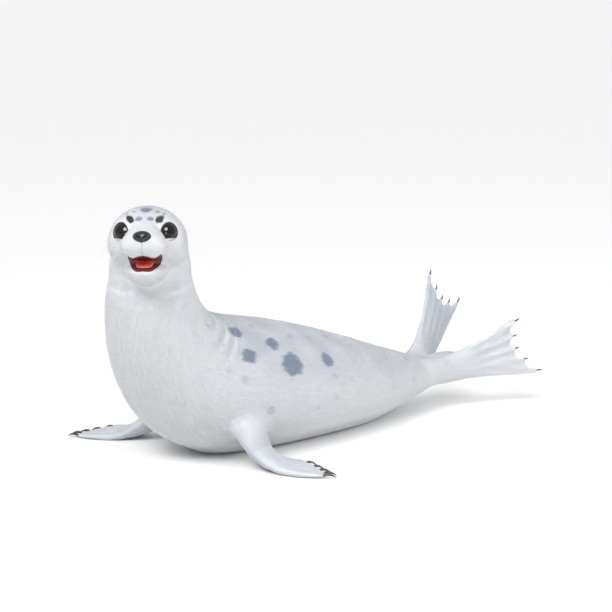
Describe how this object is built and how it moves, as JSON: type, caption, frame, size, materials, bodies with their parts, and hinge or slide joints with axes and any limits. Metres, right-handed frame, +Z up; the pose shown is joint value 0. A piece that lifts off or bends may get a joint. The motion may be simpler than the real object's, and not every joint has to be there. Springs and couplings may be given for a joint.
{
  "type": "spotted seal",
  "caption": "Young spotted seal lying on its belly, neck raised and face turned to its left, mouth a little open, fore flippers spread on the floor and hind flippers lifted.",
  "frame": {"origin": "on the floor, under the middle of the ribs, where the belly lies flat", "axes": "+X from the tail to the chest, +Y to the animal's left, +Z up from the floor"},
  "size_m": [1.0374, 0.5597, 0.4973],
  "materials": {
    "coat": "short, dense pale grey hair lying flat, with blue-grey spots and dark brow spots",
    "eyes": "wet, glossy, near black",
    "nose": "bare, damp, black",
    "tongue": "wet, pink",
    "claws": "smooth dark horn"
  },
  "bodies": {
    "root": {"hips": "coat", "belly": "coat", "chest": "coat", "neck": "coat", "head": "coat", "lower_jaw": "coat", "tail": "coat", "foreflipper_right": "coat", "foreflipper_left": "coat", "hindflipper_right": "coat", "hindflipper_left": "coat", "eye_left": "eyes", "eye_right": "eyes", "nose": "nose", "tongue": "tongue", "foreclaw_right_1": "claws", "foreclaw_right_2": "claws", "foreclaw_right_3": "claws", "foreclaw_right_4": "claws", "foreclaw_right_5": "claws", "foreclaw_left_1": "claws", "foreclaw_left_2": "claws", "foreclaw_left_3": "claws", "foreclaw_left_4": "claws", "foreclaw_left_5": "claws", "hindclaw_right_1": "claws", "hindclaw_right_2": "claws", "hindclaw_right_3": "claws", "hindclaw_right_4": "claws", "hindclaw_right_5": "claws", "hindclaw_left_1": "claws", "hindclaw_left_2": "claws", "hindclaw_left_3": "claws", "hindclaw_left_4": "claws", "hindclaw_left_5": "claws"}
  },
  "joints": []
}
